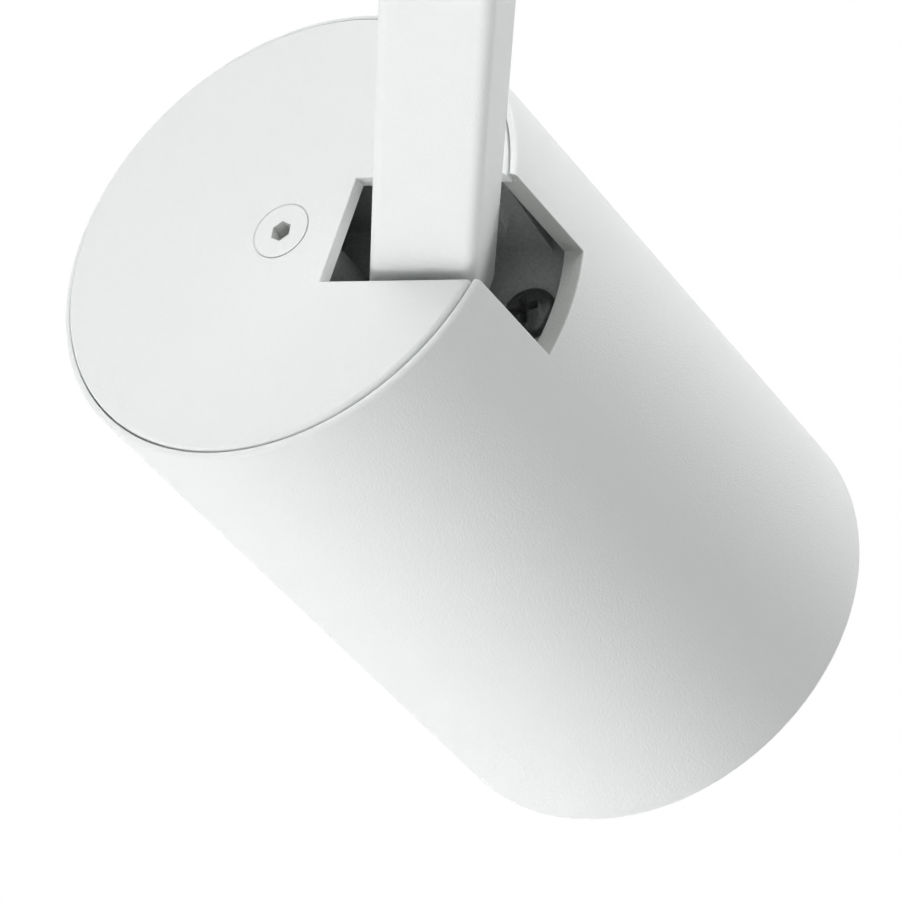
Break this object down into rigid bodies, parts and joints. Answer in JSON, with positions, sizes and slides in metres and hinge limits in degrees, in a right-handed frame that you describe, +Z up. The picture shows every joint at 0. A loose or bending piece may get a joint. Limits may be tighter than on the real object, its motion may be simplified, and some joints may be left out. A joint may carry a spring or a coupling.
{
  "type": "ceiling spotlight",
  "caption": "Surface mounted spotlight: round base, square arm that turns, round head that tilts on a pin in a slot through its rear cap and side.",
  "frame": {"origin": "centre of the base's back face, which lies against the ceiling, on the axis the arm turns about", "axes": "+Z up into the ceiling along the arm's turning axis; the tilt pin lies along Y; at rest the head leans towards +X"},
  "size_m": [0.1195, 0.11, 0.3266],
  "materials": {
    "white_powder_coat": "fine satin powder coat",
    "galvanised_steel": "zinc plated",
    "black_rubber": "moulded",
    "grey_nylon": "moulded",
    "driver_case": "moulded",
    "terminal_plastic": "moulded",
    "cast_aluminium": "as cast",
    "dark_steel": "black oxide",
    "plain_steel": "turned",
    "extruded_aluminium": "milled",
    "silicone_pad": "moulded",
    "board_aluminium": "white mask",
    "phosphor": "silicone gel",
    "white_plastic": "moulded",
    "polished_reflector": "vapour coated",
    "clear_glass": "polished",
    "black_baffle": "fine matt"
  },
  "bodies": {
    "ceiling_base": {"ceiling_plate": "galvanised_steel", "plate_grommet": "black_rubber", "pan_bridge": "galvanised_steel", "bridge_screws": "plain_steel", "pan_bush": "grey_nylon", "stop_pin": "plain_steel", "led_driver": "driver_case", "driver_screws": "plain_steel", "terminal_block": "terminal_plastic", "terminal_screws": "plain_steel", "cable_clamp": "white_plastic", "clamp_screws": "plain_steel", "base_cover": "white_powder_coat", "cover_screws": "plain_steel"},
    "arm": {"arm_tube": "white_powder_coat", "arm_neck": "white_powder_coat", "neck_screws": "plain_steel", "pan_tab_washer": "plain_steel", "spring_washer": "plain_steel", "pan_nut": "plain_steel", "tilt_knuckle": "extruded_aluminium", "knuckle_pin": "plain_steel"},
    "head": {"head_housing": "white_powder_coat", "rear_cap": "white_powder_coat", "cap_screw": "white_powder_coat", "pivot_cradle": "cast_aluminium", "cradle_screws": "dark_steel", "friction_washers": "grey_nylon", "tilt_axle": "plain_steel", "axle_nut": "plain_steel", "wire_grommet": "black_rubber", "heat_sink": "extruded_aluminium", "thermal_pad": "silicone_pad", "led_board": "board_aluminium", "led_emitter": "phosphor", "led_holder": "white_plastic", "holder_screws": "plain_steel", "reflector": "polished_reflector", "glass_gasket": "black_rubber", "front_glass": "clear_glass", "baffle_ring": "black_baffle"}
  },
  "joints": [
    {"name": "arm_turn", "type": "hinge", "parent": "ceiling_base", "child": "arm", "pos_m": [0, 0, -0.034], "axis": [0, 0, 1], "range_deg": [-170, 170]},
    {"name": "head_tilt", "type": "hinge", "parent": "arm", "child": "head", "pos_m": [0, 0, -0.22], "axis": [0, -1, 0], "range_deg": [-32.5, 57.5]}
  ]
}
